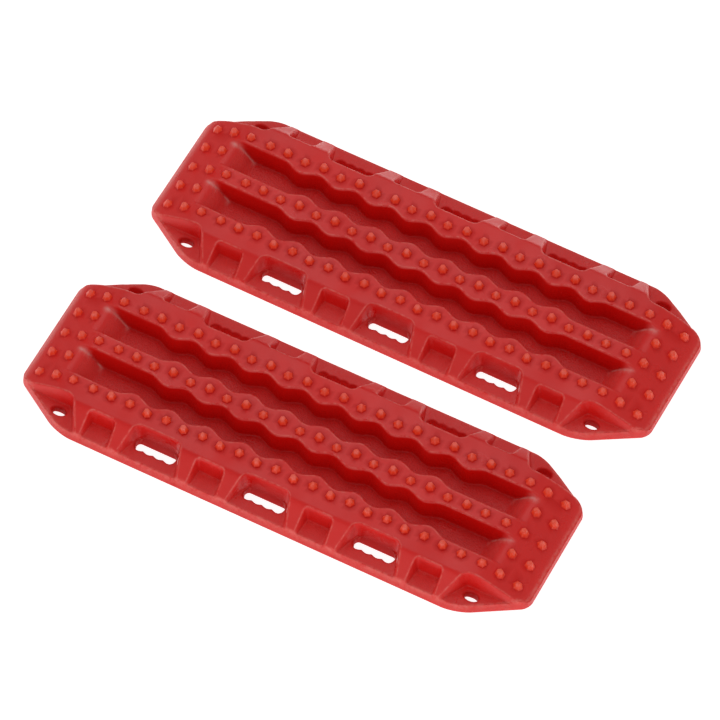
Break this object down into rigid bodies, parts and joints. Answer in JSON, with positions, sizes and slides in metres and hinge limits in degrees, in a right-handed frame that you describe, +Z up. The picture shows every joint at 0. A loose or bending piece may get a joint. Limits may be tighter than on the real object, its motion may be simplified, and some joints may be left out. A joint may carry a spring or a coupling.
{
  "type": "tire traction mats",
  "caption": "Pair of rigid moulded traction mats with studded ridges, winding channels, hand slots and tie-down holes, laid under a stuck wheel for grip.",
  "frame": {"origin": "bottom centre of the pair's bounding box, on the ground", "axes": "+X along the mats' length, +Y from the front mat to the rear mat, +Z up"},
  "size_m": [1.1842, 0.877, 0.0734],
  "materials": {
    "mat": "satin, fine moulded grain"
  },
  "bodies": {
    "front_mat": {"front_mat": "mat"},
    "rear_mat": {"rear_mat": "mat"}
  },
  "joints": [
    {"name": "rear_mat_lift", "type": "slide", "parent": "front_mat", "child": "rear_mat", "axis": [0, 0, 1], "range_m": [0, 0.3]}
  ]
}
